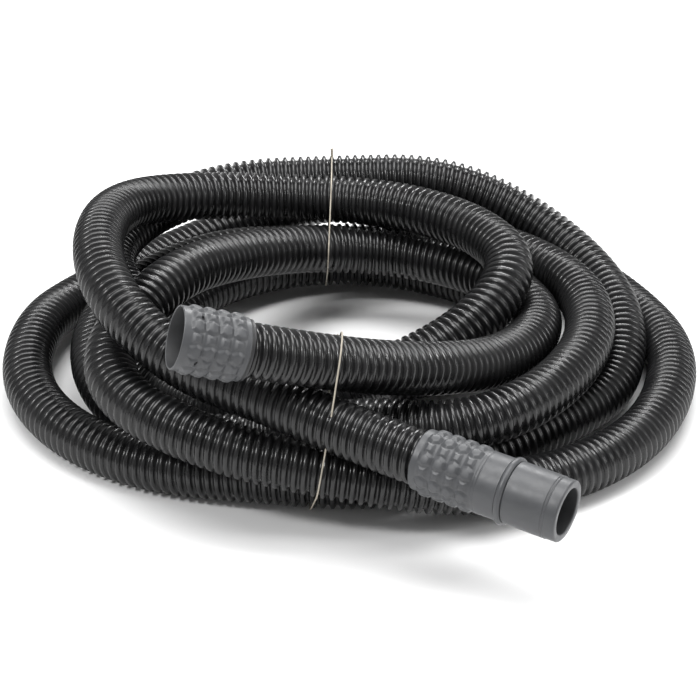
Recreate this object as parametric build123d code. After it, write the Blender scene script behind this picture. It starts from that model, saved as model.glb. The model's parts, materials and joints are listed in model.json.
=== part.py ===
from build123d import *
import os
from math import cos, pi, radians, sin, tan

# A flexible ribbed vacuum hose, laid down in a loose heap of six turns and held by two wire ties.
# Each end carries a grip cuff that turns freely on a collar screwed onto the hose.
# Millimetres. +Z is up from the floor, and the origin is on the floor under the middle of the heap.

# ---- hose ----
HOSE_OD = 40.0
HOSE_BORE = 32.0
ARC_SHARE = 0.45  # how much of the shorter run each bend takes up
HOSE_INSERT = 30.0  # length of hose end hidden inside each cuff
HOSE_LENGTHS = 28  # the hose is modelled as this many plain lengths, end to end

# The line of a 40 mm hose, from the cut end in cuff A to the cut end in cuff B.
DRAWN_FOR_OD = 40.0
DRAWN_ROUTE = [
    # turn 1: down off the heap to the right, round the inside, back along the front
    (-102, -193, 161), (-33, -178, 138), (50, -131, 103), (120, -60, 70), (158, 24, 60),
    (126, 98, 61), (57, 148, 59), (-25, 145, 67), (-90, 90, 88), (-140, 20, 105),
    (-185, -50, 84), (-175, -115, 72), (-105, -165, 62), (-20, -185, 51),
    # turn 2: round the outside, on the floor
    (65, -185, 35), (145, -155, 22), (210, -105, 20), (250, -35, 20), (265, 50, 20),
    (240, 130, 20), (190, 200, 26), (125, 245, 29), (45, 250, 20), (-40, 240, 20),
    (-115, 210, 33), (-180, 145, 33), (-210, 65, 33), (-200, -25, 31), (-150, -85, 20),
    (-75, -105, 26),
    # turn 3: up over the front strands, then out to the far left
    (5, -125, 56), (80, -150, 64), (145, -105, 65), (190, -20, 64), (192, 65, 66),
    (147, 132, 67), (80, 190, 60), (15, 255, 65), (-45, 280, 44), (-115, 260, 26),
    (-175, 210, 20), (-230, 145, 22), (-260, 75, 29), (-260, -10, 24), (-220, -80, 20),
    (-150, -130, 20), (-65, -150, 24),
    # turn 4: along the floor in front, up the right side and over the back
    (20, -155, 20), (95, -120, 20), (160, -70, 23), (210, -15, 20), (226, 60, 38),
    (205, 135, 54), (145, 190, 82), (75, 205, 106), (-15, 216, 99), (-100, 215, 96),
    (-175, 175, 87), (-205, 105, 77), (-175, 35, 69), (-110, -15, 45),
    # turn 5: the small inner turn on the floor
    (-25, -20, 20), (60, 10, 20), (135, 55, 20), (150, 125, 20), (90, 185, 20),
    (5, 205, 26), (-80, 180, 30), (-145, 120, 29), (-170, 35, 20), (-145, -35, 20),
    (-70, -65, 26),
    # turn 6: climbs to the top of the heap and comes down across the front
    (15, -55, 50), (95, -20, 76), (135, 40, 101), (105, 110, 103), (35, 160, 102),
    (-50, 179, 98), (-135, 160, 109), (-190, 105, 126), (-200, 20, 136), (-180, -65, 127),
    (-125, -120, 102), (-60, -158, 97), (10, -198, 87), (76, -236, 82),
]
HEAP_SCALE = HOSE_OD / DRAWN_FOR_OD  # a thicker hose lies in a heap as much larger
ROUTE = [(x * HEAP_SCALE, y * HEAP_SCALE, z * HEAP_SCALE) for x, y, z in DRAWN_ROUTE]

# ---- clearances ----
RUNNING_GAP = 0.05  # radial, between a cuff and the collar it turns on
END_GAP = 0.1  # along the axis, between faces that turn on each other
LIP = 1.5  # thickness of the stop that the cut hose end butts against
STOP_BORE_R = HOSE_BORE / 2 + 0.4

# ---- cuff A: the open socket for a wand or tool ----
COLLAR_A_WALL = 0.9
COLLAR_A_R = HOSE_OD / 2 + COLLAR_A_WALL
COLLAR_A_FLANGE_R = COLLAR_A_R + 0.9
COLLAR_A_FLANGE = 1.5
SOCKET_R = COLLAR_A_R + 0.5
SOCKET_DEPTH = 17.0
SOCKET_WALL = 1.2
CUFF_A_LENGTH = HOSE_INSERT + LIP + 0.5 + SOCKET_DEPTH
CUFF_A_SHELL_R = SOCKET_R + SOCKET_WALL
CLIP_ROOM_R = SOCKET_R + 0.4
CLIP_ROOM_START = HOSE_INSERT - 7.0
CUFF_A_FIRST_ROW = 8.8
CUFF_A_ROW_PITCH = (CUFF_A_LENGTH + 1.0) / 5
CUFF_A_KNOB_R = CUFF_A_SHELL_R + 1.6
CUFF_A_STUD_R = CUFF_A_SHELL_R + 1.3
CUFF_A_PHASE = 7.5  # degrees, where the first knob sits round the cuff
WASHER_A_THICK = 0.8
CLIP_A_START = CLIP_ROOM_START + END_GAP
CLIP_A_WIDTH = 1.6
CLIP_A_INNER_R = COLLAR_A_R - 0.5
CLIP_A_OUTER_R = CLIP_ROOM_R - 0.3
PIN_HOLE_R = 1.5
PIN_HOLE_FROM_MOUTH = 13.0
PIN_HOLE_ANGLES = (70.0, -14.0)

# ---- cuff B: the machine end ----
COLLAR_B_R = HOSE_OD / 2 + 0.8
WASHER_B_THICK = 3.0
CUFF_B_LENGTH = HOSE_INSERT + 18.3
CUFF_B_SHELL_R = COLLAR_B_R + 1.15
CUFF_B_MOUTH_R = HOSE_OD / 2 + 0.3
CUFF_B_MOUTH_DEPTH = 5.0
CUFF_B_FIRST_ROW = 10.3
CUFF_B_ROW_PITCH = (CUFF_B_LENGTH + 3.7) / 5
CUFF_B_KNOB_R = CUFF_B_SHELL_R + 1.4
CUFF_B_STUD_R = CUFF_B_SHELL_R + 1.1
CUFF_B_PHASE = 8.0
SPIGOT_NOSE_START = HOSE_INSERT + LIP + END_GAP + WASHER_B_THICK + 0.4
SPIGOT_R = CUFF_B_SHELL_R + 0.45
SPIGOT_BORE_R = HOSE_BORE / 2 + 0.5
SPIGOT_LENGTH = 62.6  # the part that shows, from the grip to the tip
BEAD_START = 0.283 * SPIGOT_LENGTH
BEAD_WIDTH = 5.0
BEAD_SEAT_R = SPIGOT_R - 0.7
BEAD_R = SPIGOT_R + 1.9
RIDGE_FROM_TIP = 9.5
RIDGE_WIDTH = 1.2
TIP_R = SPIGOT_R - 0.4
TIP_ROUND = 1.4

# ---- knobs and studs round both cuffs ----
ROWS = 4
KNOBS_ROUND = 8
KNOB_WIDTH = 11.0
KNOB_TOP = 7.6
STUD_WIDTH = 6.6
STUD_TOP = 3.8
ROOT_SINK = 0.5  # how far a knob's foot goes into the shell

# ---- wire ties ----
TIE_R = 0.75
TIE_SEAT_R = HOSE_OD / 2 - 1.8  # the wire lies down in the valleys between the ribs
TIE_X = -18.0 * HEAP_SCALE
# Centres (y, z) of the strands that each tie goes round where they cross its plane, top one first.
FRONT_TIE = [(-168, 132), (-182, 91), (-183, 50), (-153, 22)]
REAR_TIE = [(215, 99), (172, 100), (141, 67), (197, 27)]
TWIST_R = 1.4
TWIST_LENGTH = 9.0
FRONT_TWIST = 10.0  # degrees round the top strand, from +Y towards +Z
REAR_TWIST = 95.0


def unit(a, b):
    """The direction from a to b."""
    return (Vector(*b) - Vector(*a)).normalized()


def bend_radii(points):
    """The largest tangent arc at each inner point, and the list of them."""
    radii = []
    for before, here, after in zip(points, points[1:], points[2:]):
        into = Vector(*here) - Vector(*before)
        out = Vector(*after) - Vector(*here)
        half_turn = radians(into.get_angle(out)) / 2
        radii.append(ARC_SHARE * min(into.length, out.length) / tan(half_turn))
    return radii


def hose_path():
    """Straight runs joined by tangent arcs along the route."""
    radii = bend_radii(ROUTE)
    print("bend radii", [round(r) for r in radii])
    return FilletPolyline(*ROUTE, radius=radii)


def path_lengths(path):
    """The path's runs and arcs, shared out into equal lengths that follow each other."""
    shares = [[] for _ in range(HOSE_LENGTHS)]
    travelled = 0.0
    for edge in path.edges():
        middle = travelled + edge.length / 2
        shares[int(HOSE_LENGTHS * middle / path.length)].append(edge)
        travelled += edge.length
    return [Wire(share) for share in shares]


def make_hose_length(path):
    """A plain tube of the ribs' outer diameter and the hose's bore."""
    start = Plane(origin=path @ 0, z_dir=path % 0)
    section = start * (Circle(HOSE_OD / 2) - Circle(HOSE_BORE / 2))
    return sweep(section, path=path)


def make_hose():
    """Every length of the hose by name, from cuff A to cuff B."""
    path = hose_path()
    lengths = [make_hose_length(share) for share in path_lengths(path)]
    ring = pi * (HOSE_OD**2 - HOSE_BORE**2) / 4
    volume = sum(tube.volume for tube in lengths)
    print("hose length", round(path.length, 1), "volume ratio", volume / (ring * path.length))
    return {f"hose_{number:02d}": tube for number, tube in enumerate(lengths, 1)}


def end_frame(tip, inner):
    """The frame of a cuff: origin where it meets the hose, +Z out of its mouth, Y upwards."""
    axis = unit(inner, tip)
    side = Vector(0, 0, 1).cross(axis)
    return Location(Plane(origin=Vector(*tip) - axis * HOSE_INSERT, x_dir=side, z_dir=axis))


FRAME_A = end_frame(ROUTE[0], ROUTE[1])
FRAME_B = end_frame(ROUTE[-1], ROUTE[-2])


def turned(profile):
    """A solid of revolution from (radius, distance along the axis) corners."""
    face = make_face(Plane.XZ * Polyline(*profile, close=True))
    return revolve(face, Axis.Z)


def tube(inner, outer, low, high):
    """A plain ring from one distance along the axis to another."""
    return turned([(inner, low), (outer, low), (outer, high), (inner, high)])


def stud(width, top, sides, shell_r, crest_r, angle, along):
    """One raised knob: a tapered block with a flat top, standing on the shell."""
    out = Plane(origin=(0, 0, along), x_dir=(0, 0, 1), z_dir=(cos(angle), sin(angle), 0))
    spin = 0 if sides == 6 else 45
    foot = out.offset(shell_r - ROOT_SINK) * RegularPolygon(width / 2, sides, rotation=spin)
    crown = out.offset(crest_r) * RegularPolygon(top / 2, sides, rotation=spin)
    return loft([foot, crown])


def knob_rows(shell_r, knob_r, stud_r, first_row, pitch, phase):
    """Rows of knobs round a cuff, with a small square stud between each pair."""
    pieces = []
    step = 2 * pi / KNOBS_ROUND
    for row in range(ROWS):
        along = first_row + row * pitch
        for k in range(KNOBS_ROUND):
            angle = radians(phase) + k * step
            between = angle + step / 2
            pieces.append(stud(KNOB_WIDTH, KNOB_TOP, 6, shell_r, knob_r, angle, along))
            pieces.append(stud(STUD_WIDTH, STUD_TOP, 4, shell_r, stud_r, between, along))
    return pieces


def make_grip_cuff_a():
    """The socket cuff: turns on collar A, and opens into a socket for the tool."""
    turning_r = COLLAR_A_R + RUNNING_GAP
    shell = turned([
        (turning_r, 0), (CUFF_A_SHELL_R - 0.8, 0), (CUFF_A_SHELL_R, 0.8),
        (CUFF_A_SHELL_R, CUFF_A_LENGTH), (SOCKET_R, CUFF_A_LENGTH),
        (SOCKET_R, CUFF_A_LENGTH - SOCKET_DEPTH), (CLIP_ROOM_R, CUFF_A_LENGTH - SOCKET_DEPTH),
        (CLIP_ROOM_R, CLIP_ROOM_START), (turning_r, CLIP_ROOM_START),
    ])
    rows = (CUFF_A_KNOB_R, CUFF_A_STUD_R, CUFF_A_FIRST_ROW, CUFF_A_ROW_PITCH, CUFF_A_PHASE)
    cuff = shell + knob_rows(CUFF_A_SHELL_R, *rows)
    for angle in PIN_HOLE_ANGLES:
        cuff -= pin_hole(radians(angle))
    return FRAME_A * cuff


def pin_hole(angle):
    """A drill through the socket wall near its mouth."""
    out = Plane(
        origin=(0, 0, CUFF_A_LENGTH - PIN_HOLE_FROM_MOUTH), z_dir=(cos(angle), sin(angle), 0)
    )
    reach = CUFF_A_KNOB_R - SOCKET_R + 4
    bottom = (Align.CENTER, Align.CENTER, Align.MIN)
    return out.offset(SOCKET_R - 2) * Cylinder(PIN_HOLE_R, reach, align=bottom)


def make_collar_a():
    """The black collar screwed onto the hose, which cuff A turns on."""
    hose_r = HOSE_OD / 2
    top = HOSE_INSERT + LIP
    flange_top = -WASHER_A_THICK - END_GAP
    clip_low = CLIP_A_START - END_GAP
    clip_high = CLIP_A_START + CLIP_A_WIDTH + END_GAP
    collar = turned([
        (hose_r, flange_top - COLLAR_A_FLANGE), (COLLAR_A_FLANGE_R, flange_top - COLLAR_A_FLANGE),
        (COLLAR_A_FLANGE_R, flange_top), (COLLAR_A_R, flange_top), (COLLAR_A_R, clip_low),
        (CLIP_A_INNER_R, clip_low), (CLIP_A_INNER_R, clip_high), (COLLAR_A_R, clip_high),
        (COLLAR_A_R, top), (STOP_BORE_R, top), (STOP_BORE_R, HOSE_INSERT), (hose_r, HOSE_INSERT),
    ])
    return FRAME_A * collar


def make_washer_a():
    """The flat sealing washer between collar A's flange and the cuff's end."""
    return FRAME_A * tube(COLLAR_A_R, COLLAR_A_FLANGE_R - 0.3, -WASHER_A_THICK - END_GAP, -END_GAP)


def make_clip_a():
    """The split spring clip in collar A's groove, which keeps the cuff on."""
    ring = tube(CLIP_A_INNER_R, CLIP_A_OUTER_R, CLIP_A_START, CLIP_A_START + CLIP_A_WIDTH)
    split = Pos(CLIP_A_OUTER_R, 0, CLIP_A_START) * Box(8, 3, 8)
    return FRAME_A * (ring - split)


def make_grip_cuff_b():
    """The machine-end grip: turns on collar B, and carries the spigot."""
    turning_r = COLLAR_B_R + RUNNING_GAP
    shell = turned([
        (CUFF_B_MOUTH_R, 0), (CUFF_B_SHELL_R - 0.8, 0), (CUFF_B_SHELL_R, 0.8),
        (CUFF_B_SHELL_R, CUFF_B_LENGTH), (turning_r, CUFF_B_LENGTH),
        (turning_r, CUFF_B_MOUTH_DEPTH), (CUFF_B_MOUTH_R, CUFF_B_MOUTH_DEPTH),
    ])
    rows = (CUFF_B_KNOB_R, CUFF_B_STUD_R, CUFF_B_FIRST_ROW, CUFF_B_ROW_PITCH, CUFF_B_PHASE)
    return FRAME_B * (shell + knob_rows(CUFF_B_SHELL_R, *rows))


def make_collar_b():
    """The threaded ring on the hose, trapped inside cuff B between its mouth and the washer."""
    hose_r = HOSE_OD / 2
    low = CUFF_B_MOUTH_DEPTH + END_GAP
    top = HOSE_INSERT + LIP
    collar = turned([
        (hose_r, low), (COLLAR_B_R, low), (COLLAR_B_R, top),
        (STOP_BORE_R, top), (STOP_BORE_R, HOSE_INSERT), (hose_r, HOSE_INSERT),
    ])
    return FRAME_B * collar


def make_washer_b():
    """The sealing washer between collar B and the nose of the spigot."""
    low = HOSE_INSERT + LIP + END_GAP
    return FRAME_B * tube(SPIGOT_BORE_R, COLLAR_B_R - 0.4, low, low + WASHER_B_THICK)


def make_machine_spigot():
    """The smooth connector pressed into cuff B, with a bead seat and a rounded tip."""
    nose_r = COLLAR_B_R + RUNNING_GAP
    foot = CUFF_B_LENGTH
    tip = foot + SPIGOT_LENGTH
    nose_low = SPIGOT_NOSE_START
    seat_low = foot + BEAD_START
    seat_high = seat_low + BEAD_WIDTH
    ridge = tip - RIDGE_FROM_TIP
    body = turned([
        (SPIGOT_BORE_R, nose_low), (nose_r, nose_low), (nose_r, foot), (SPIGOT_R, foot),
        (SPIGOT_R, seat_low), (BEAD_SEAT_R, seat_low), (BEAD_SEAT_R, seat_high),
        (SPIGOT_R, seat_high), (SPIGOT_R, ridge - 1), (TIP_R, ridge - 1), (TIP_R, ridge),
        (SPIGOT_R, ridge), (SPIGOT_R, ridge + RIDGE_WIDTH), (TIP_R, ridge + RIDGE_WIDTH),
        (TIP_R, tip), (SPIGOT_BORE_R, tip),
    ])
    rim = body.edges().filter_by(GeomType.CIRCLE).group_by(Axis.Z)[-1]
    return FRAME_B * fillet(rim, TIP_ROUND)


def make_spigot_bead():
    """The rounded sealing ring seated in the spigot's groove."""
    low = CUFF_B_LENGTH + BEAD_START + END_GAP
    bead = tube(BEAD_SEAT_R, BEAD_R, low, low + BEAD_WIDTH - 2 * END_GAP)
    outer = bead.edges().filter_by(GeomType.CIRCLE).sort_by(SortBy.RADIUS)[-2:]
    return FRAME_B * fillet(outer, 1.6)


def make_tie(strands, twist_angle):
    """A wire drawn tight round a bundle, with its twisted ends standing off the top strand."""
    across = Plane(origin=(TIE_X, 0, 0), x_dir=(0, 1, 0), z_dir=(1, 0, 0))
    strands = [(y * HEAP_SCALE, z * HEAP_SCALE) for y, z in strands]
    bundle = make_face(Polyline(*strands, close=True))
    loop = (across * offset(bundle, TIE_SEAT_R, kind=Kind.ARC)).face().outer_wire()
    ring = sweep(Plane(origin=loop @ 0, z_dir=loop % 0) * Circle(TIE_R), path=loop)
    y, z = strands[0]
    turn = radians(twist_angle)
    out = Plane(origin=(TIE_X, y, z), z_dir=(0, cos(turn), sin(turn)))
    bottom = (Align.CENTER, Align.CENTER, Align.MIN)
    twist = out.offset(TIE_SEAT_R) * Cylinder(TWIST_R, TWIST_LENGTH, align=bottom)
    return ring + twist


def check_lengths():
    """Print the ends that the cuffs are set on."""
    for name, frame in (("A", FRAME_A), ("B", FRAME_B)):
        plane = Plane(frame)
        print("cuff", name, "origin", plane.origin, "axis", plane.z_dir)


os.makedirs("parts", exist_ok=True)
check_lengths()
PARTS = make_hose() | {
    "grip_cuff_a": make_grip_cuff_a(),
    "collar_a": make_collar_a(),
    "seal_washer_a": make_washer_a(),
    "spring_clip_a": make_clip_a(),
    "grip_cuff_b": make_grip_cuff_b(),
    "collar_b": make_collar_b(),
    "seal_washer_b": make_washer_b(),
    "machine_spigot": make_machine_spigot(),
    "spigot_bead": make_spigot_bead(),
    "front_tie": make_tie(FRONT_TIE, FRONT_TWIST),
    "rear_tie": make_tie(REAR_TIE, REAR_TWIST),
}
for name, part in PARTS.items():
    export_step(part, f"parts/{name}.step")
    print(name, part.bounding_box())
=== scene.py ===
"""The looks of a ribbed vacuum hose, laid in six loose turns with a grip cuff on each end.

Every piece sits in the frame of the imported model, in metres.
"""

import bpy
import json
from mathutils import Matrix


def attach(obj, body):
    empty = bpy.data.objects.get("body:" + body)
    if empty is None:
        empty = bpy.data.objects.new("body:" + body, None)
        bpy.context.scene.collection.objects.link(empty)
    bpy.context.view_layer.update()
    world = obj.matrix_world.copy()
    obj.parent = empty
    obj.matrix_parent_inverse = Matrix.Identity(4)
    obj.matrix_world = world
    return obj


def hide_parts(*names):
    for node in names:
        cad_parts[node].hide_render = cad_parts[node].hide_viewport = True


bl_info = {
    "name": "Ribbed Vacuum Hose",
    "version": (1, 0, 0),
    "blender": (4, 5, 0),
    "location": "3D View > Sidebar > Hose",
    "description": "Builds a coiled ribbed hose with its two grip cuffs, seals and wire ties",
    "category": "Add Mesh",
}

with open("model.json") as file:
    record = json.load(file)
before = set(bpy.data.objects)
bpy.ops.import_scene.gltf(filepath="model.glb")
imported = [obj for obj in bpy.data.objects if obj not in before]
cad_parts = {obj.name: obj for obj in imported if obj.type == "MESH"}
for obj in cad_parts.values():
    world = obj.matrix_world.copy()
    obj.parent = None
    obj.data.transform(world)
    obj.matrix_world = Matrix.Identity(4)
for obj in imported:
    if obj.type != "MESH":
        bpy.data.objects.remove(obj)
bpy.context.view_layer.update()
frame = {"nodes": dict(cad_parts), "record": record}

import json
from math import cos, pi, radians, sin, sqrt

import bmesh
import bpy
import numpy as np
from bpy.props import FloatProperty, FloatVectorProperty, IntProperty, PointerProperty
from mathutils import Matrix, Vector

MM = 0.001

# The line of the hose, from the cut end in the socket cuff to the cut end in the machine cuff.
ROUTE = [
    # turn 1: down off the heap to the right, round the inside, back along the front
    (-0.102, -0.193, 0.161), (-0.033, -0.178, 0.138), (0.050, -0.131, 0.103),
    (0.120, -0.060, 0.070), (0.158, 0.024, 0.060),
    (0.126, 0.098, 0.061), (0.057, 0.148, 0.059), (-0.025, 0.145, 0.067),
    (-0.090, 0.090, 0.088), (-0.140, 0.020, 0.105),
    (-0.185, -0.050, 0.084), (-0.175, -0.115, 0.072), (-0.105, -0.165, 0.062),
    (-0.020, -0.185, 0.051),
    # turn 2: round the outside, on the floor
    (0.065, -0.185, 0.035), (0.145, -0.155, 0.022), (0.210, -0.105, 0.020),
    (0.250, -0.035, 0.020), (0.265, 0.050, 0.020),
    (0.240, 0.130, 0.020), (0.190, 0.200, 0.026), (0.125, 0.245, 0.029),
    (0.045, 0.250, 0.020), (-0.040, 0.240, 0.020),
    (-0.115, 0.210, 0.033), (-0.180, 0.145, 0.033), (-0.210, 0.065, 0.033),
    (-0.200, -0.025, 0.031), (-0.150, -0.085, 0.020),
    (-0.075, -0.105, 0.026),
    # turn 3: up over the front strands, then out to the far left
    (0.005, -0.125, 0.056), (0.080, -0.150, 0.064), (0.145, -0.105, 0.065),
    (0.190, -0.020, 0.064), (0.192, 0.065, 0.066),
    (0.147, 0.132, 0.067), (0.080, 0.190, 0.060), (0.015, 0.255, 0.065),
    (-0.045, 0.280, 0.044), (-0.115, 0.260, 0.026),
    (-0.175, 0.210, 0.020), (-0.230, 0.145, 0.022), (-0.260, 0.075, 0.029),
    (-0.260, -0.010, 0.024), (-0.220, -0.080, 0.020),
    (-0.150, -0.130, 0.020), (-0.065, -0.150, 0.024),
    # turn 4: along the floor in front, up the right side and over the back
    (0.020, -0.155, 0.020), (0.095, -0.120, 0.020), (0.160, -0.070, 0.023),
    (0.210, -0.015, 0.020), (0.226, 0.060, 0.038),
    (0.205, 0.135, 0.054), (0.145, 0.190, 0.082), (0.075, 0.205, 0.106),
    (-0.015, 0.216, 0.099), (-0.100, 0.215, 0.096),
    (-0.175, 0.175, 0.087), (-0.205, 0.105, 0.077), (-0.175, 0.035, 0.069), (-0.110, -0.015, 0.045),
    # turn 5: the small inner turn on the floor
    (-0.025, -0.020, 0.020), (0.060, 0.010, 0.020), (0.135, 0.055, 0.020),
    (0.150, 0.125, 0.020), (0.090, 0.185, 0.020),
    (0.005, 0.205, 0.026), (-0.080, 0.180, 0.030), (-0.145, 0.120, 0.029),
    (-0.170, 0.035, 0.020), (-0.145, -0.035, 0.020),
    (-0.070, -0.065, 0.026),
    # turn 6: climbs to the top of the heap and comes down across the front
    (0.015, -0.055, 0.050), (0.095, -0.020, 0.076), (0.135, 0.040, 0.101),
    (0.105, 0.110, 0.103), (0.035, 0.160, 0.102),
    (-0.050, 0.179, 0.098), (-0.135, 0.160, 0.109), (-0.190, 0.105, 0.126),
    (-0.200, 0.020, 0.136), (-0.180, -0.065, 0.127),
    (-0.125, -0.120, 0.102), (-0.060, -0.158, 0.097), (0.010, -0.198, 0.087),
    (0.076, -0.236, 0.082),
]
LINE_STEPS = 24  # points of the smooth line for each control point

# How far down from the crest, as a share of the rib's depth, each of eight steps of one pitch is.
RIB_STEPS = (0.06, 0.0, 0.46, 0.93, 1.0, 0.93, 0.46, 0.0)

# Cuffs, in millimetres from the cuff's hose end. Turned outlines are (radius, distance) corners.
INSERT = 30.0
SOCKET_LENGTH = 49.0
SOCKET_SHELL = 22.6
SOCKET_BORE = 21.4
SOCKET_DEPTH = 17.0
SOCKET_TURNING = 20.95  # where it turns on its collar
CLIP_ROOM = 21.8
CLIP_ROOM_START = 23.0
PIN_HOLE_ANGLES = (70.0, -14.0)
PIN_HOLE_RADIUS = 1.5
PIN_HOLE_FROM_MOUTH = 13.0
GRIP_LENGTH = 48.3
GRIP_SHELL = 21.95
GRIP_MOUTH = 20.3
GRIP_MOUTH_DEPTH = 5.0
GRIP_TURNING = 20.85
SPIGOT_OUTSIDE = 22.4
SPIGOT_BORE = 16.5
SPIGOT_NOSE = 35.0
SPIGOT_TIP = 110.9
TIP_ROUND = 1.4
RIDGE_FROM_TIP = 9.5
BEAD_FROM_GRIP = 17.7
BEAD_WIDTH = 5.0
BEAD_SEAT_DEPTH = 0.7

# The grip pattern: rows of knobs and studs, each as (sides, half width at its foot, at its top).
ROWS = 4
KNOB_SHAPE = (6, 5.3, 2.9)
STUD_SHAPE = (4, 3.7, 1.7)
SHELL_SIDES = 320
SHELL_STEP = 0.4

# Strands that each tie goes round, as (y, z) in metres where they cross its plane.
TIE_X = -0.018
WIRE_RADIUS = 0.0006
FRONT_BUNDLE = [(-0.168, 0.132), (-0.182, 0.091), (-0.183, 0.050), (-0.153, 0.022)]
REAR_BUNDLE = [(0.215, 0.099), (0.172, 0.100), (0.141, 0.067), (0.197, 0.027)]


def slot_colour(slot):
    """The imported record's base colour for a material slot."""
    for material in frame["record"]["materials"]:
        if material["slot"] == slot:
            return tuple(material["base_color"])
    raise RuntimeError(f"the packed record has no slot {slot}")


def scaled(colour, factor):
    """A colour made darker or lighter."""
    return tuple(min(1.0, c * factor) for c in colour)


# ---------------------------------------------------------------- settings


class HoseSizes(bpy.types.PropertyGroup):
    """Sizes of the ribbed tube."""

    diameter: FloatProperty(
        name="Outer diameter", description="Across the crests of the ribs",
        default=0.040, min=0.02, max=0.1, unit="LENGTH",
    )
    bore: FloatProperty(
        name="Bore", description="Inside diameter of the hose",
        default=0.032, min=0.01, max=0.09, unit="LENGTH",
    )
    rib_pitch: FloatProperty(
        name="Rib pitch", description="From one crest to the next along the hose",
        default=0.0068, min=0.003, max=0.02, unit="LENGTH",
    )
    rib_depth: FloatProperty(
        name="Rib depth", description="From crest to valley",
        default=0.0033, min=0.0005, max=0.006, unit="LENGTH",
    )
    sides: IntProperty(
        name="Sides", description="Faces round the hose", default=30, min=12, max=64,
    )


class CuffSizes(bpy.types.PropertyGroup):
    """Sizes of the raised grip pattern on both cuffs."""

    swell: FloatProperty(
        name="Row swell", description="How far each row of knobs swells out of the shell",
        default=0.0007, min=0.0, max=0.003, unit="LENGTH",
    )
    knob: FloatProperty(
        name="Knob height", description="Height of the large knobs above their row",
        default=0.0013, min=0.0, max=0.003, unit="LENGTH",
    )
    stud: FloatProperty(
        name="Stud height", description="Height of the small square studs above their row",
        default=0.0012, min=0.0, max=0.003, unit="LENGTH",
    )
    knobs_round: IntProperty(
        name="Knobs round", description="Large knobs in one row", default=8, min=4, max=16,
    )


class HoseFinishes(bpy.types.PropertyGroup):
    """Colours and gloss of the finishes."""

    hose: FloatVectorProperty(
        name="Hose black", description="Base colour of the hose plastic",
        default=slot_colour("hose_plastic"), size=3, min=0, max=1, subtype="COLOR",
    )
    cuff: FloatVectorProperty(
        name="Cuff grey", description="Base colour of the cuffs and spigot",
        default=slot_colour("cuff_plastic"), size=3, min=0, max=1, subtype="COLOR",
    )
    collar: FloatVectorProperty(
        name="Collar black", description="Base colour of the collars",
        default=slot_colour("collar_plastic"), size=3, min=0, max=1, subtype="COLOR",
    )
    seal: FloatVectorProperty(
        name="Seal rubber", description="Base colour of the sealing washers",
        default=slot_colour("seal_rubber"), size=3, min=0, max=1, subtype="COLOR",
    )
    steel: FloatVectorProperty(
        name="Spring steel", description="Base colour of the spring clip",
        default=slot_colour("spring_steel"), size=3, min=0, max=1, subtype="COLOR",
    )
    wire: FloatVectorProperty(
        name="Tie wire", description="Base colour of the wire ties' coating",
        default=scaled(slot_colour("tie_wire"), 0.7), size=3, min=0, max=1, subtype="COLOR",
    )
    floor: FloatVectorProperty(
        name="Floor", description="Base colour of the floor",
        default=(0.86, 0.86, 0.86), size=3, min=0, max=1, subtype="COLOR",
    )


# ---------------------------------------------------------------- finishes


class Finish:
    """A node material being put together on its principled shader."""

    def __init__(self, name, roughness, **sockets):
        self.material = bpy.data.materials.new(name)
        self.material.use_nodes = True
        self.nodes = self.material.node_tree.nodes
        self.links = self.material.node_tree.links
        self.shader = self.nodes["Principled BSDF"]
        self.shader.inputs["Roughness"].default_value = roughness
        for socket, value in sockets.items():
            self.shader.inputs[socket.replace("_", " ")].default_value = value
        self.place = self.nodes.new("ShaderNodeTexCoord").outputs["Object"]

    def noise(self, scale, detail=3.0, stretch=None):
        """Fractal noise over the piece; scale is in repeats per metre."""
        texture = self.nodes.new("ShaderNodeTexNoise")
        texture.inputs["Scale"].default_value = scale
        texture.inputs["Detail"].default_value = detail
        place = self.place
        if stretch:
            mapping = self.nodes.new("ShaderNodeMapping")
            mapping.inputs["Scale"].default_value = stretch
            self.links.new(self.place, mapping.inputs["Vector"])
            place = mapping.outputs["Vector"]
        self.links.new(place, texture.inputs["Vector"])
        return texture.outputs["Fac"]

    def span(self, value, low, high, from_low=0.3, from_high=0.7):
        """A value eased from one range to another."""
        remap = self.nodes.new("ShaderNodeMapRange")
        remap.inputs["From Min"].default_value = from_low
        remap.inputs["From Max"].default_value = from_high
        remap.inputs["To Min"].default_value = low
        remap.inputs["To Max"].default_value = high
        self.links.new(value, remap.inputs["Value"])
        return remap.outputs["Result"]

    def mix(self, value, first, second):
        """A colour between two, by a value from 0 to 1; each is a colour or a socket."""
        blend = self.nodes.new("ShaderNodeMix")
        blend.data_type = "RGBA"
        self.links.new(value, blend.inputs[0])
        for colour, socket in ((first, blend.inputs[6]), (second, blend.inputs[7])):
            if isinstance(colour, bpy.types.NodeSocket):
                self.links.new(colour, socket)
            else:
                socket.default_value = (*colour, 1)
        return blend.outputs[2]

    def tint(self, value, base, dark, pale):
        """Colours the shader between a darker and a paler shade of its base."""
        shades = scaled(base, dark), scaled(base, pale)
        self.set("Base Color", self.mix(self.span(value, 0, 1), *shades))

    def attribute(self, name):
        """A value stored on the mesh's points."""
        stored = self.nodes.new("ShaderNodeAttribute")
        stored.attribute_name = name
        return stored.outputs["Fac"]

    def set(self, socket, value):
        """Feeds one of the shader's sockets."""
        self.links.new(value, self.shader.inputs[socket])

    def bump(self, height, strength, distance):
        """A fine relief from a height value; chained after any bump set before."""
        relief = self.nodes.new("ShaderNodeBump")
        relief.inputs["Strength"].default_value = strength
        relief.inputs["Distance"].default_value = distance
        self.links.new(height, relief.inputs["Height"])
        before = self.shader.inputs["Normal"]
        if before.is_linked:
            self.links.new(before.links[0].from_socket, relief.inputs["Normal"])
        self.links.new(relief.outputs["Normal"], before)


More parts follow.
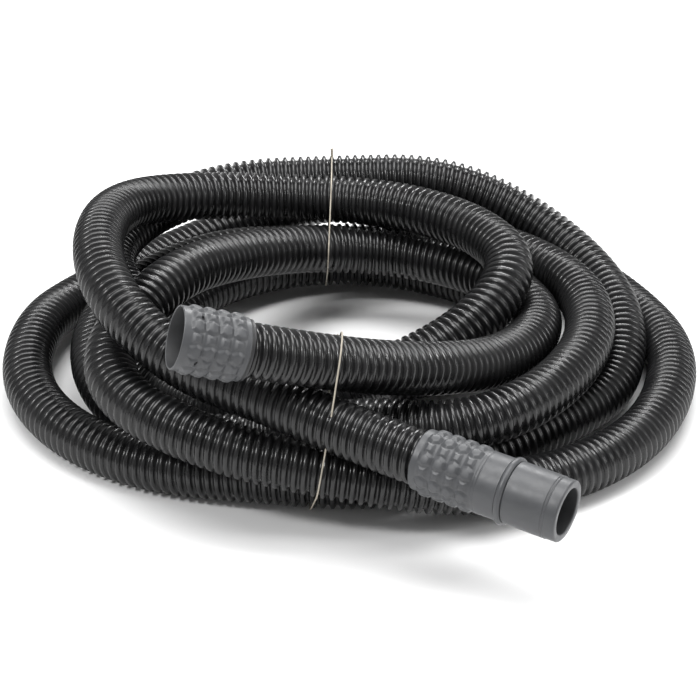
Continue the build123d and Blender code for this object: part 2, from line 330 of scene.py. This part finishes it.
def hose_black(finishes):
    """Semi-gloss black plastic: polished crests, duller and dustier valleys, slow cloudiness."""
    finish = Finish("HoseBlack", 0.3)
    base = tuple(finishes.hose)
    cloud = finish.noise(26, 4)
    dust = finish.noise(420, 5)
    crest = finish.attribute("crest")
    tone = finish.mix(finish.span(cloud, 0, 1), scaled(base, 0.35), scaled(base, 0.6))
    dusty = finish.mix(finish.span(dust, 0, 0.3, 0.55, 0.8), tone, scaled(base, 1.4))
    finish.set("Base Color", finish.mix(crest, dusty, tone))
    finish.set("Roughness", finish.span(cloud, 0.2, 0.32))
    finish.bump(finish.noise(900, 2), 0.12, 0.0002)
    finish.bump(finish.noise(130, 2), 0.15, 0.0006)
    return finish.material


def cuff_grey(finishes):
    """Satin grey moulded plastic with a fine spark grain and paler rubbed patches scattered over
    it.
    """
    finish = Finish("CuffGrey", 0.5)
    base = tuple(finishes.cuff)
    cloud = finish.noise(38, 4)
    grain = finish.noise(2600, 2)
    worn = finish.noise(160, 5)
    tone = finish.mix(finish.span(cloud, 0, 1), scaled(base, 0.6), scaled(base, 0.74))
    rubbed = finish.span(worn, 0, 0.3, 0.55, 0.8)
    finish.set("Base Color", finish.mix(rubbed, tone, scaled(base, 0.9)))
    finish.set("Roughness", finish.span(worn, 0.34, 0.5))
    finish.bump(grain, 0.18, 0.0001)
    finish.bump(worn, 0.06, 0.0004)
    return finish.material


def bore_painted_shade(finishes):
    """The same plastic inside the bores, its colour darkened to a painted shade and mottled by
    dust.
    """
    finish = Finish("BorePaintedShade", 0.7)
    base = tuple(finishes.cuff)
    dust = finish.noise(140, 5)
    # painted shade: the bore's colour is cut to between a sixth and a third of the cuff grey, with
    # dust mottling it
    finish.tint(dust, base, 0.16, 0.34)
    finish.set("Roughness", finish.span(dust, 0.6, 0.8))
    finish.bump(dust, 0.1, 0.0003)
    return finish.material


def collar_black(finishes):
    """Satin black plastic for the collars."""
    finish = Finish("CollarBlack", 0.45)
    base = tuple(finishes.collar)
    cloud = finish.noise(90, 4)
    finish.tint(cloud, base, 0.7, 1.3)
    finish.set("Roughness", finish.span(cloud, 0.36, 0.52))
    finish.bump(finish.noise(2200, 2), 0.15, 0.0001)
    return finish.material


def seal_rubber(finishes):
    """Dull black rubber with a powdery bloom."""
    finish = Finish("SealRubber", 0.8)
    base = tuple(finishes.seal)
    bloom = finish.noise(300, 5)
    finish.tint(bloom, base, 0.7, 1.6)
    finish.set("Roughness", finish.span(bloom, 0.68, 0.88))
    finish.bump(finish.noise(1800, 3), 0.2, 0.0001)
    return finish.material


def spring_steel(finishes):
    """Bare drawn steel with fine marks along the clip."""
    finish = Finish("SpringSteel", 0.3, Metallic=1.0)
    base = tuple(finishes.steel)
    drawn = finish.noise(500, 3, (1, 1, 9))
    finish.tint(drawn, base, 0.85, 1.1)
    finish.set("Roughness", finish.span(drawn, 0.22, 0.4))
    finish.bump(drawn, 0.1, 0.0001)
    return finish.material


def tie_wire(finishes):
    """Pale coated wire, slightly stained where it has been handled."""
    finish = Finish("TieWire", 0.5)
    base = tuple(finishes.wire)
    stain = finish.noise(110, 4)
    finish.tint(stain, base, 0.75, 1.15)
    finish.set("Roughness", finish.span(stain, 0.4, 0.6))
    finish.bump(finish.noise(1500, 2), 0.2, 0.0001)
    return finish.material


def pale_floor(finishes):
    """A plain pale floor, a little uneven in tone."""
    finish = Finish("PaleFloor", 0.7)
    base = tuple(finishes.floor)
    cloud = finish.noise(3, 3)
    finish.set("Base Color", finish.mix(finish.span(cloud, 0, 1), scaled(base, 0.985), base))
    return finish.material


FINISHES = {
    "hose_plastic": hose_black,
    "cuff_plastic": cuff_grey,
    # the bore finish is the cuff grey darkened as painted shade
    "cuff_bore_shade": bore_painted_shade,
    "collar_plastic": collar_black,
    "seal_rubber": seal_rubber,
    "spring_steel": spring_steel,
    "tie_wire": tie_wire,
}
MADE = {}


def finish_for(slot):
    """The node material for a slot, made once."""
    if slot not in MADE:
        MADE[slot] = FINISHES[slot](bpy.context.scene.hose_finishes)
    return MADE[slot]


# ---------------------------------------------------------------- shapes


def smooth_line(points, steps):
    """Points along one smooth open spline that has these control points."""
    curve = bpy.data.curves.new("line", "CURVE")
    curve.dimensions = "3D"
    spline = curve.splines.new("NURBS")
    spline.points.add(len(points) - 1)
    for knot, point in zip(spline.points, points):
        knot.co = (*point, 1)
    spline.order_u = 3
    spline.use_endpoint_u = True
    spline.resolution_u = steps
    holder = bpy.data.objects.new("line", curve)
    drawn = bpy.data.meshes.new_from_object(holder)
    line = np.array([vertex.co for vertex in drawn.vertices])
    bpy.data.objects.remove(holder)
    bpy.data.meshes.remove(drawn)
    bpy.data.curves.remove(curve)
    return line


def distances(line):
    """How far along the line each of its points is."""
    steps = np.linalg.norm(np.diff(line, axis=0), axis=1)
    return np.concatenate([[0], np.cumsum(steps)])


def carried_frames(line):
    """Tangents along a line, with sideways directions that don't twist."""
    tangents = np.gradient(line, axis=0)
    tangents /= np.linalg.norm(tangents, axis=1)[:, None]
    side = np.cross(tangents[0], (0, 0, 1))
    sides = []
    for tangent in tangents:
        side = side - tangent * side.dot(tangent)
        side /= np.linalg.norm(side)
        sides.append(side)
    return tangents, np.array(sides)


def points_round(line, along, angle, radius):
    """Points at a distance along the line, an angle round it and a radius from it."""
    reach = distances(line)
    tangents, sides = carried_frames(line)
    centre = np.stack([np.interp(along, reach, line[:, k]) for k in range(3)], -1)
    tangent = np.stack([np.interp(along, reach, tangents[:, k]) for k in range(3)], -1)
    side = np.stack([np.interp(along, reach, sides[:, k]) for k in range(3)], -1)
    tangent /= np.linalg.norm(tangent, axis=-1, keepdims=True)
    side -= tangent * np.sum(side * tangent, -1, keepdims=True)
    side /= np.linalg.norm(side, axis=-1, keepdims=True)
    up = np.cross(tangent, side)
    round_ = np.cos(angle)[..., None] * side + np.sin(angle)[..., None] * up
    return centre + round_ * np.asarray(radius)[..., None]


def mesh_piece(name, points, faces, slot, body, crease=None):
    """A smooth-shaded mesh in its finish, riding on a body."""
    mesh = bpy.data.meshes.new(name)
    mesh.from_pydata([tuple(p) for p in points], [], faces)
    mesh.shade_smooth()
    if crease:
        mesh.set_sharp_from_angle(angle=radians(crease))
    mesh.materials.append(finish_for(slot))
    piece = bpy.data.objects.new(name, mesh)
    bpy.context.scene.collection.objects.link(piece)
    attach(piece, body)
    return piece


def face_outwards(piece):
    """Turns every face of a closed mesh outwards."""
    work = bmesh.new()
    work.from_mesh(piece.data)
    bmesh.ops.recalc_face_normals(work, faces=work.faces)
    work.to_mesh(piece.data)
    work.free()


def cuff_place(tip, inner):
    """Where a cuff sits: +Z out of its mouth, Y upwards, origin where it meets the hose."""
    axis = (Vector(tip) - Vector(inner)).normalized()
    side = Vector((0, 0, 1)).cross(axis).normalized()
    up = axis.cross(side)
    origin = Vector(tip) - axis * INSERT * MM
    place = Matrix((side, up, axis)).transposed().to_4x4()
    return Matrix.Translation(origin) @ place


def ring_grid(outline, around, place, radius_at=None):
    """Rings of points along a closed (radius, distance) outline in millimetres, and their faces."""
    angles = np.linspace(0, 2 * pi, around, endpoint=False)
    radii = np.array([r for r, _ in outline])[:, None] + np.zeros(around)
    along = np.array([s for _, s in outline])[:, None] + np.zeros(around)
    if radius_at is not None:
        radii = radius_at(radii, along, angles[None, :])
    flat = np.stack([radii * np.cos(angles), radii * np.sin(angles), along], -1).reshape(-1, 3)
    turn = np.array(place)
    points = flat * MM @ turn[:3, :3].T + turn[:3, 3]
    rings = len(outline)
    faces = []
    for i in range(rings):
        low, high = i * around, (i + 1) % rings * around
        for j in range(around):
            k = (j + 1) % around
            faces.append((low + j, low + k, high + k, high + j))
    return points, faces


def paint_bore_shade(piece, place, radius):
    """Gives the faces inside a radius, in millimetres, the bore finish darkened as painted shade.
    """
    piece.data.materials.append(finish_for("cuff_bore_shade"))
    back = place.inverted()
    for face in piece.data.polygons:
        spot = back @ face.center
        if sqrt(spot.x**2 + spot.y**2) < radius * MM:
            face.material_index = 1


def turned_piece(name, outline, place, slot, body, bevel=0.35, around=144):
    """A turned ring with its edges broken by a fine round."""
    points, faces = ring_grid(outline, around, place)
    piece = mesh_piece(name, points, faces, slot, body, crease=40)
    face_outwards(piece)
    rounding = piece.modifiers.new("Broken edges", "BEVEL")
    rounding.width = bevel * MM
    rounding.segments = 3
    rounding.limit_method = "ANGLE"
    rounding.angle_limit = radians(35)
    return piece


# ---------------------------------------------------------------- hose


def helical_rib_points(line, sizes):
    """Points of the outside, in rows that follow the ribs round, and their crest values."""
    steps = len(RIB_STEPS)
    length = distances(line)[-1]
    rise = sizes.rib_pitch / steps
    rows = np.arange(-steps, int(length / rise) + 2)
    turn = np.arange(sizes.sides) / sizes.sides
    along = rows[:, None] * rise + turn[None, :] * sizes.rib_pitch
    depth = np.array(RIB_STEPS)[rows % steps][:, None] + 0 * turn
    cut = (along <= 0) | (along >= length)
    depth = np.where(cut, 1.0, depth)
    angle = 2 * pi * turn + np.zeros_like(along)
    radius = sizes.diameter / 2 - sizes.rib_depth * depth
    points = points_round(line, np.clip(along, 0, length), angle, radius)
    return points, 1 - depth


def bore_points(line, sizes):
    """Points of the smooth bore, in plain rings."""
    length = distances(line)[-1]
    stations = np.linspace(0, length, int(length / 0.01))
    turn = np.arange(sizes.sides) / sizes.sides
    along = stations[:, None] + 0 * turn
    angle = 2 * pi * turn + 0 * along
    return points_round(line, along, angle, np.full_like(along, sizes.bore / 2))


def hose_faces(rows, bores, sides, steps):
    """Faces of the ribbed outside, the bore, and the two cut ends that join them."""
    faces = []
    last = rows - 1
    for i in range(last):
        low, high = i * sides, (i + 1) * sides
        for j in range(sides - 1):
            faces.append((low + j, low + j + 1, high + j + 1, high + j))
        here = min(i + steps, last) * sides
        above = min(i + steps + 1, last) * sides
        faces.append((low + sides - 1, here, above, high + sides - 1))
    start = rows * sides
    for i in range(bores - 1):
        low = start + i * sides
        for j in range(sides):
            k = (j + 1) % sides
            faces.append((low + j, low + sides + j, low + sides + k, low + k))
    inner_last = start + (bores - 1) * sides
    for j in range(sides):
        k = (j + 1) % sides
        faces.append((j, start + j, start + k, k))
        faces.append((last * sides + j, last * sides + k, inner_last + k, inner_last + j))
    return faces


def close_seams(piece):
    """Merges the points that the cut ends squeeze together."""
    work = bmesh.new()
    work.from_mesh(piece.data)
    bmesh.ops.remove_doubles(work, verts=work.verts, dist=1e-6)
    bmesh.ops.recalc_face_normals(work, faces=work.faces)
    work.to_mesh(piece.data)
    work.free()


class HOSE_OT_ribbed_hose(bpy.types.Operator):
    """Build the ribbed tube along its route"""

    bl_idname = "vacuum_hose.ribbed_hose"
    bl_label = "Ribbed hose"

    def execute(self, context):
        sizes = context.scene.hose_sizes
        line = smooth_line(ROUTE, LINE_STEPS)
        outside, crest = helical_rib_points(line, sizes)
        bore = bore_points(line, sizes)
        faces = hose_faces(len(outside), len(bore), sizes.sides, len(RIB_STEPS))
        points = np.concatenate([outside.reshape(-1, 3), bore.reshape(-1, 3)])
        piece = mesh_piece("RibbedHose", points, faces, "hose_plastic", "coil")
        stored = piece.data.attributes.new("crest", "FLOAT", "POINT")
        values = np.concatenate([crest.ravel(), np.zeros(bore.size // 3)])
        stored.data.foreach_set("value", values.astype(np.float32))
        close_seams(piece)
        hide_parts(*[node for node in frame["nodes"] if node.startswith("hose_")])
        return {"FINISHED"}


# ---------------------------------------------------------------- cuffs


def raised_block(u, v, sides, foot, top):
    """How high a tapered block stands at (u, v), from 0 at its foot to 1 on its flat top."""
    reach = np.zeros_like(u + v)
    for k in range(sides // 2):
        turn = pi * 2 * k / sides
        reach = np.maximum(reach, abs(u * cos(turn) + v * sin(turn)))
    return np.clip((foot - reach) / (foot - top), 0, 1)


def grip_pattern(shell, first_row, pitch, phase, sizes):
    """A function that lifts a cuff's shell into rows of knobs and studs."""
    count = sizes.knobs_round
    step = 2 * pi / count

    def radius_at(radii, along, angles):
        """The shell's radius with the pattern on it; other surfaces are left alone."""
        lift = np.zeros_like(radii + angles)
        for row in range(ROWS):
            u = along - (first_row + row * pitch)
            inside = np.clip(1 - (2 * u / pitch) ** 2, 0, 1)
            lift = np.maximum(lift, sizes.swell / MM * inside)
        for row in range(ROWS):
            u = along - (first_row + row * pitch)
            inside = np.clip(1 - (2 * u / pitch) ** 2, 0, 1) * sizes.swell / MM
            for kind, turn in (("knob", 0.0), ("stud", 0.5)):
                offset = (angles - radians(phase) - turn * step + step / 2) % step - step / 2
                v = offset * shell
                if kind == "knob":
                    block = raised_block(u, v, *KNOB_SHAPE) * sizes.knob / MM
                else:
                    block = raised_block(u, v, *STUD_SHAPE) * sizes.stud / MM
                lift = np.where(block > 0, np.maximum(lift, inside + block), lift)
        return np.where(abs(radii - shell) < 0.01, radii + lift, radii)

    return radius_at


def shell_rings(shell, low, high):
    """Fine rings along the outside of a shell."""
    return [(shell, s) for s in np.arange(low, high, SHELL_STEP)] + [(shell, high)]


class HOSE_OT_socket_cuff(bpy.types.Operator):
    """Build the grip cuff that takes a wand or tool"""

    bl_idname = "vacuum_hose.socket_cuff"
    bl_label = "Socket cuff"

    def execute(self, context):
        sizes = context.scene.hose_cuffs
        length, shell = SOCKET_LENGTH, SOCKET_SHELL
        floor = length - SOCKET_DEPTH
        inside = [
            (SOCKET_BORE + 0.35, length), (SOCKET_BORE, length - 0.4), (SOCKET_BORE, floor),
            (CLIP_ROOM, floor), (CLIP_ROOM, CLIP_ROOM_START), (SOCKET_TURNING, CLIP_ROOM_START),
            (SOCKET_TURNING, 0.3), (SOCKET_TURNING + 0.25, 0),
        ]
        outline = [(21.9, 0), (22.35, 0.25)] + shell_rings(shell, 0.8, length - 0.6)
        outline += [(22.5, length - 0.28), (22.3, length - 0.06), (22.1, length)] + inside
        place = cuff_place(ROUTE[0], ROUTE[1])
        pattern = grip_pattern(shell, 8.8, 10.0, 7.5, sizes)
        points, faces = ring_grid(outline, SHELL_SIDES, place, pattern)
        piece = mesh_piece("SocketCuff", points, faces, "cuff_plastic", "socket_end", crease=50)
        face_outwards(piece)
        drill_pin_holes(piece, place)
        # painted shade: the faces inside the socket's mouth take the darkened bore finish
        paint_bore_shade(piece, place, SOCKET_BORE + 0.15)
        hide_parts("grip_cuff_a")
        return {"FINISHED"}


def drill_pin_holes(piece, place):
    """Cuts the two small round holes near the socket's mouth."""
    work = bmesh.new()
    radius, depth = PIN_HOLE_RADIUS * MM, 8 * MM
    wall = Matrix.Translation((22.5 * MM, 0, (SOCKET_LENGTH - PIN_HOLE_FROM_MOUTH) * MM))
    for angle in PIN_HOLE_ANGLES:
        spin = Matrix.Rotation(radians(angle), 4, "Z") @ wall
        lying = place @ spin @ Matrix.Rotation(pi / 2, 4, "Y")
        bmesh.ops.create_cone(
            work, cap_ends=True, segments=24, radius1=radius, radius2=radius, depth=depth,
            matrix=lying,
        )
    drills = bpy.data.meshes.new("drills")
    work.to_mesh(drills)
    work.free()
    tool = bpy.data.objects.new("drills", drills)
    bpy.context.scene.collection.objects.link(tool)
    cut = piece.modifiers.new("Pin holes", "BOOLEAN")
    cut.object = tool
    cut.operation = "DIFFERENCE"
    cut.solver = "EXACT"
    apply_modifiers(piece)
    bpy.data.objects.remove(tool)


def apply_modifiers(piece):
    """Puts a piece's modifiers into its mesh."""
    bpy.context.view_layer.update()
    graph = bpy.context.evaluated_depsgraph_get()
    made = bpy.data.meshes.new_from_object(piece.evaluated_get(graph))
    piece.modifiers.clear()
    piece.data = made


class HOSE_OT_machine_cuff(bpy.types.Operator):
    """Build the grip cuff, the smooth spigot and its sealing bead at the machine end"""

    bl_idname = "vacuum_hose.machine_cuff"
    bl_label = "Machine cuff and spigot"

    def execute(self, context):
        sizes = context.scene.hose_cuffs
        place = cuff_place(ROUTE[-1], ROUTE[-2])
        length, shell = GRIP_LENGTH, GRIP_SHELL
        outline = [(GRIP_MOUTH, 0), (21.2, 0), (21.7, 0.25)]
        outline += shell_rings(shell, 0.8, length - 0.4)
        outline += [
            (21.75, length), (GRIP_TURNING, length), (GRIP_TURNING, GRIP_MOUTH_DEPTH),
            (GRIP_MOUTH, GRIP_MOUTH_DEPTH),
        ]
        pattern = grip_pattern(shell, 10.3, 10.4, 8.0, sizes)
        points, faces = ring_grid(outline, SHELL_SIDES, place, pattern)
        grip = mesh_piece("MachineGrip", points, faces, "cuff_plastic", "machine_end", crease=50)
        face_outwards(grip)
        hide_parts("grip_cuff_b")
        finish = ("cuff_plastic", "machine_end")
        spigot = turned_piece("MachineSpigot", spigot_outline(), place, *finish)
        # painted shade: the spigot's bore takes the darkened bore finish
        paint_bore_shade(spigot, place, SPIGOT_BORE + 0.3)
        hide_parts("machine_spigot")
        bead = turned_piece("SpigotBead", bead_outline(), place, *finish, 0.1)
        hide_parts("spigot_bead")
        return {"FINISHED"}


def spigot_outline():
    """The spigot: nose in the grip, step line, barrel, bead seat, thin ridge and rounded tip."""
    foot, tip, out, bore = GRIP_LENGTH, SPIGOT_TIP, SPIGOT_OUTSIDE, SPIGOT_BORE
    ridge, seat = tip - RIDGE_FROM_TIP, foot + BEAD_FROM_GRIP
    seat_end, neck = seat + BEAD_WIDTH, out - BEAD_SEAT_DEPTH
    quarter = np.linspace(0, pi / 2, 6)
    corner = [(TIP_ROUND * (1 - sin(t)), tip - TIP_ROUND * (1 - cos(t))) for t in quarter]
    outer = [(out - 0.4 - inset, along) for inset, along in reversed(corner)]
    inner = [(bore + inset, along) for inset, along in corner]
    barrel = [
        (bore, SPIGOT_NOSE), (GRIP_TURNING, SPIGOT_NOSE), (GRIP_TURNING, foot), (out, foot),
        (out, foot + 1.8), (out - 0.3, foot + 2.2), (out, foot + 2.6), (out, seat - 0.3),
        (neck, seat), (neck, seat_end), (out, seat_end + 0.3), (out, ridge - 1.2),
        (out - 0.4, ridge - 0.9), (out - 0.4, ridge), (out + 0.05, ridge + 0.25),
        (out + 0.05, ridge + 0.95), (out - 0.4, ridge + 1.2),
    ]
    return barrel + outer + inner


def bead_outline():
    """The bead: a band with a rounded back, standing in its seat."""
    seat, neck = GRIP_LENGTH + BEAD_FROM_GRIP, SPIGOT_OUTSIDE - BEAD_SEAT_DEPTH
    middle = seat + BEAD_WIDTH / 2
    back = [(22.6 + 1.7 * sin(t), middle - 2.4 * cos(t)) for t in np.linspace(0, pi, 15)]
    return [(neck, seat + 0.1)] + back + [(neck, seat + BEAD_WIDTH - 0.1)]


# ---------------------------------------------------------------- collars, seals and clip


class HOSE_OT_swivel_parts(bpy.types.Operator):
    """Give the collars, sealing washers and spring clip their finishes"""

    bl_idname = "vacuum_hose.swivel_parts"
    bl_label = "Collars, washers and clip"

    def execute(self, context):
        wanted = {
            "collar_a": "collar_plastic", "collar_b": "collar_plastic",
            "seal_washer_a": "seal_rubber", "seal_washer_b": "seal_rubber",
            "spring_clip_a": "spring_steel",
        }
        for node, slot in wanted.items():
            piece = frame["nodes"][node]
            piece.data.materials.clear()
            piece.data.materials.append(finish_for(slot))
        return {"FINISHED"}


# ---------------------------------------------------------------- ties


def crossings(line, bundle):
    """Where the hose's line goes through the ties' plane nearest each strand of a bundle."""
    ahead = (line[:-1, 0] - TIE_X) * (line[1:, 0] - TIE_X) <= 0
    through = line[:-1][ahead][:, 1:]
    found = []
    for strand in bundle:
        gap = np.linalg.norm(through - np.array(strand), axis=1)
        if gap.min() > 0.03:
            raise RuntimeError(f"no strand of the hose goes through the tie near {strand}")
        found.append(through[gap.argmin()])
    return np.array(found)


def wire_round(strands, reach, lean):
    """Points of a wire drawn tight round some strands, in a plane that leans across the hose."""
    points = []
    for turn in np.linspace(0, 2 * pi, 97)[:-1]:
        out = np.array((cos(turn), sin(turn)))
        y, z = strands[(strands @ out).argmax()] + reach * out
        points.append((TIE_X + lean * (z - strands[:, 1].mean()), y, z))
    return points


def twisted_ends(strands, reach, angle, lean):
    """Two strands of wire wound on each other, standing off the top strand of the hose."""
    out = Vector((0, cos(angle), sin(angle)))
    side = out.cross(Vector((1, 0, 0))).normalized()
    y, z = strands[0] + (reach - 0.0005) * np.array((cos(angle), sin(angle)))
    foot = Vector((TIE_X + lean * (z - strands[:, 1].mean()), y, z))
    ends = []
    for start in (0, pi):
        end = []
        for t in np.linspace(0, 1, 30):
            turn = start + 14 * t
            apart = Vector((1, 0, 0)) * cos(turn) + side * sin(turn)
            end.append(foot + out * t * 0.009 + apart * 0.0007 * (1 + 2.5 * max(0, t - 0.8)))
        ends.append(end)
    return ends


class HOSE_OT_wire_ties(bpy.types.Operator):
    """Build the two wire ties that hold the turns together"""

    bl_idname = "vacuum_hose.wire_ties"
    bl_label = "Wire ties"

    def execute(self, context):
        line = smooth_line(ROUTE, LINE_STEPS)
        reach = context.scene.hose_sizes.diameter / 2 + WIRE_RADIUS
        ties = (
            ("FrontTie", "front_tie", FRONT_BUNDLE, radians(10), 0.16),
            ("RearTie", "rear_tie", REAR_BUNDLE, radians(95), 0.05),
        )
        for name, node, bundle, twist, lean in ties:
            strands = crossings(line, bundle)
            curve = bpy.data.curves.new(name, "CURVE")
            curve.dimensions = "3D"
            curve.bevel_depth = WIRE_RADIUS
            curve.bevel_resolution = 3
            add_wire(curve, wire_round(strands, reach, lean), True)
            for end in twisted_ends(strands, reach, twist, lean):
                add_wire(curve, end, False)
            curve.materials.append(finish_for("tie_wire"))
            tie = bpy.data.objects.new(name, curve)
            context.scene.collection.objects.link(tie)
            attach(tie, "coil")
            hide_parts(node)
        return {"FINISHED"}


def add_wire(curve, points, closed):
    """Adds one length of wire to a curve."""
    spline = curve.splines.new("POLY")
    spline.points.add(len(points) - 1)
    for knot, point in zip(spline.points, points):
        knot.co = (*point, 1)
    spline.use_cyclic_u = closed
    spline.use_smooth = True


# ---------------------------------------------------------------- stage


def soft_light(name, place, target, size, power):
    """A large soft lamp aimed at a point."""
    lamp = bpy.data.lights.new(name, "AREA")
    lamp.shape = "RECTANGLE"
    lamp.size, lamp.size_y = size
    lamp.energy = power
    light = bpy.data.objects.new(name, lamp)
    light.location = place
    light.rotation_euler = (Vector(target) - Vector(place)).to_track_quat("-Z", "Y").to_euler()
    bpy.context.scene.collection.objects.link(light)


class HOSE_OT_stage(bpy.types.Operator):
    """Set the floor, the soft lights and the camera"""

    bl_idname = "vacuum_hose.stage"
    bl_label = "Floor, lights and camera"

    def execute(self, context):
        scene = context.scene
        work = bmesh.new()
        bmesh.ops.create_grid(work, x_segments=8, y_segments=8, size=6)
        mesh = bpy.data.meshes.new("Floor")
        work.to_mesh(mesh)
        work.free()
        mesh.materials.append(pale_floor(scene.hose_finishes))
        floor = bpy.data.objects.new("Floor", mesh)
        scene.collection.objects.link(floor)
        world = bpy.data.worlds.new("Studio")
        world.use_nodes = True
        background = world.node_tree.nodes["Background"]
        background.inputs["Color"].default_value = (1, 1, 1, 1)
        background.inputs["Strength"].default_value = 0.4
        scene.world = world
        soft_light("TopLight", (0, 0.1, 2.6), (0, 0.1, 0), (2.4, 1.6), 80)
        soft_light("KeyLight", (-1.1, -1.0, 1.7), (0, 0, 0.05), (0.5, 0.35), 20)
        soft_light("BackLight", (0.4, 1.7, 1.3), (0, 0, 0.05), (1.4, 0.3), 26)
        soft_light("SideLight", (1.6, -0.5, 0.9), (0, 0, 0.05), (0.3, 0.8), 9)
        scene.view_settings.view_transform = "Standard"
        view = bpy.data.cameras.new("Camera")
        view.lens = 108
        view.sensor_width = 36
        camera = bpy.data.objects.new("Camera", view)
        camera.location = (0, -1.4555, 0.8545)
        camera.rotation_euler = (radians(61), 0, 0)
        scene.collection.objects.link(camera)
        scene.camera = camera
        return {"FINISHED"}


# ---------------------------------------------------------------- panel and registration


BUILD_ORDER = (
    HOSE_OT_ribbed_hose, HOSE_OT_socket_cuff, HOSE_OT_machine_cuff,
    HOSE_OT_swivel_parts, HOSE_OT_wire_ties, HOSE_OT_stage,
)


class HOSE_PT_panel(bpy.types.Panel):
    """Lists the hose's pieces in the sidebar"""

    bl_idname = "HOSE_PT_panel"
    bl_label = "Ribbed vacuum hose"
    bl_space_type = "VIEW_3D"
    bl_region_type = "UI"
    bl_category = "Hose"

    def draw(self, context):
        column = self.layout.column()
        scene = context.scene
        for group in (scene.hose_sizes, scene.hose_cuffs, scene.hose_finishes):
            for setting in group.__annotations__:
                column.prop(group, setting)
        for operator in BUILD_ORDER:
            column.operator(operator.bl_idname)


CLASSES = (HoseSizes, CuffSizes, HoseFinishes, *BUILD_ORDER, HOSE_PT_panel)


def register():
    """Registers the classes and puts the settings on the scene."""
    for item in CLASSES:
        bpy.utils.register_class(item)
    bpy.types.Scene.hose_sizes = PointerProperty(type=HoseSizes)
    bpy.types.Scene.hose_cuffs = PointerProperty(type=CuffSizes)
    bpy.types.Scene.hose_finishes = PointerProperty(type=HoseFinishes)


def unregister():
    """Takes the settings and classes away."""
    del bpy.types.Scene.hose_finishes
    del bpy.types.Scene.hose_cuffs
    del bpy.types.Scene.hose_sizes
    for item in reversed(CLASSES):
        bpy.utils.unregister_class(item)


def main():
    """Builds every piece in order."""
    register()
    bpy.ops.vacuum_hose.ribbed_hose()
    bpy.ops.vacuum_hose.socket_cuff()
    bpy.ops.vacuum_hose.machine_cuff()
    bpy.ops.vacuum_hose.swivel_parts()
    bpy.ops.vacuum_hose.wire_ties()
    bpy.ops.vacuum_hose.stage()


if __name__ == "__main__":
    main()
